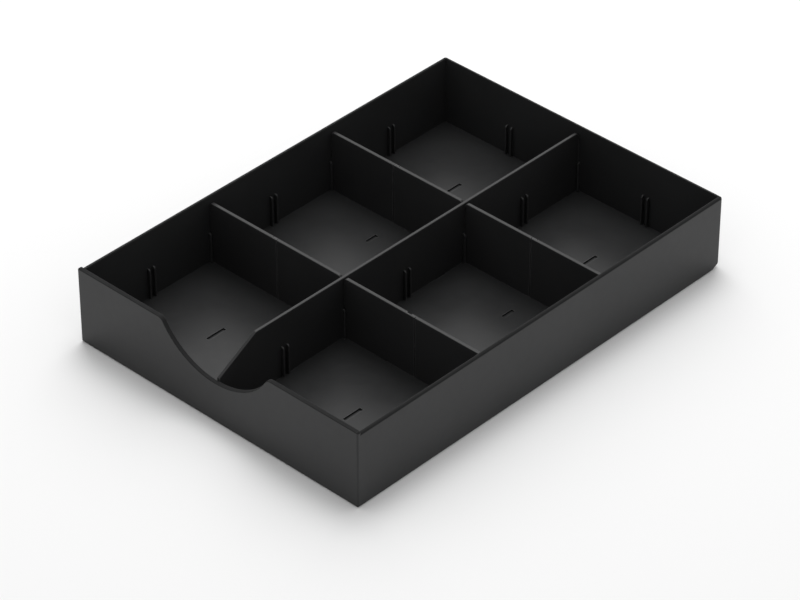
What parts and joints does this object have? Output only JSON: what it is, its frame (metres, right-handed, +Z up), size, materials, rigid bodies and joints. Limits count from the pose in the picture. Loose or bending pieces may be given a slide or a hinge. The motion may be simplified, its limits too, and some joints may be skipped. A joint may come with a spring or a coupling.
{
  "type": "drawer tray with removable dividers",
  "caption": "Shallow open drawer tray in black plastic with a finger scoop in its front panel and loose dividers that split it into compartments.",
  "frame": {"origin": "centre of the footprint on the resting plane", "axes": "+X to the right along the front panel, +Y from the front panel to the back wall, +Z up"},
  "size_m": [0.2492, 0.348, 0.0584],
  "materials": {
    "tray_plastic": "fine satin moulded surface",
    "divider_plastic": "satin, smoother than the tray"
  },
  "bodies": {
    "tray": {"tray": "tray_plastic"},
    "centre_divider": {"centre_divider": "divider_plastic"},
    "leaf_front_left_outer": {"leaf_front_left_outer": "divider_plastic"},
    "leaf_front_left_inner": {"leaf_front_left_inner": "divider_plastic"},
    "leaf_front_right_outer": {"leaf_front_right_outer": "divider_plastic"},
    "leaf_front_right_inner": {"leaf_front_right_inner": "divider_plastic"},
    "leaf_back_left_outer": {"leaf_back_left_outer": "divider_plastic"},
    "leaf_back_left_inner": {"leaf_back_left_inner": "divider_plastic"},
    "leaf_back_right_outer": {"leaf_back_right_outer": "divider_plastic"},
    "leaf_back_right_inner": {"leaf_back_right_inner": "divider_plastic"}
  },
  "joints": [
    {"name": "centre_divider_lift", "type": "slide", "parent": "tray", "child": "centre_divider", "axis": [0, 0, 1], "range_m": [0, 0.06]},
    {"name": "leaf_front_left_outer_lift", "type": "slide", "parent": "tray", "child": "leaf_front_left_outer", "axis": [0, 0, 1], "range_m": [0, 0.06]},
    {"name": "leaf_front_left_inner_lift", "type": "slide", "parent": "tray", "child": "leaf_front_left_inner", "axis": [0, 0, 1], "range_m": [0, 0.06]},
    {"name": "leaf_front_right_outer_lift", "type": "slide", "parent": "tray", "child": "leaf_front_right_outer", "axis": [0, 0, 1], "range_m": [0, 0.06]},
    {"name": "leaf_front_right_inner_lift", "type": "slide", "parent": "tray", "child": "leaf_front_right_inner", "axis": [0, 0, 1], "range_m": [0, 0.06]},
    {"name": "leaf_back_left_outer_lift", "type": "slide", "parent": "tray", "child": "leaf_back_left_outer", "axis": [0, 0, 1], "range_m": [0, 0.06]},
    {"name": "leaf_back_left_inner_lift", "type": "slide", "parent": "tray", "child": "leaf_back_left_inner", "axis": [0, 0, 1], "range_m": [0, 0.06]},
    {"name": "leaf_back_right_outer_lift", "type": "slide", "parent": "tray", "child": "leaf_back_right_outer", "axis": [0, 0, 1], "range_m": [0, 0.06]},
    {"name": "leaf_back_right_inner_lift", "type": "slide", "parent": "tray", "child": "leaf_back_right_inner", "axis": [0, 0, 1], "range_m": [0, 0.06]}
  ]
}
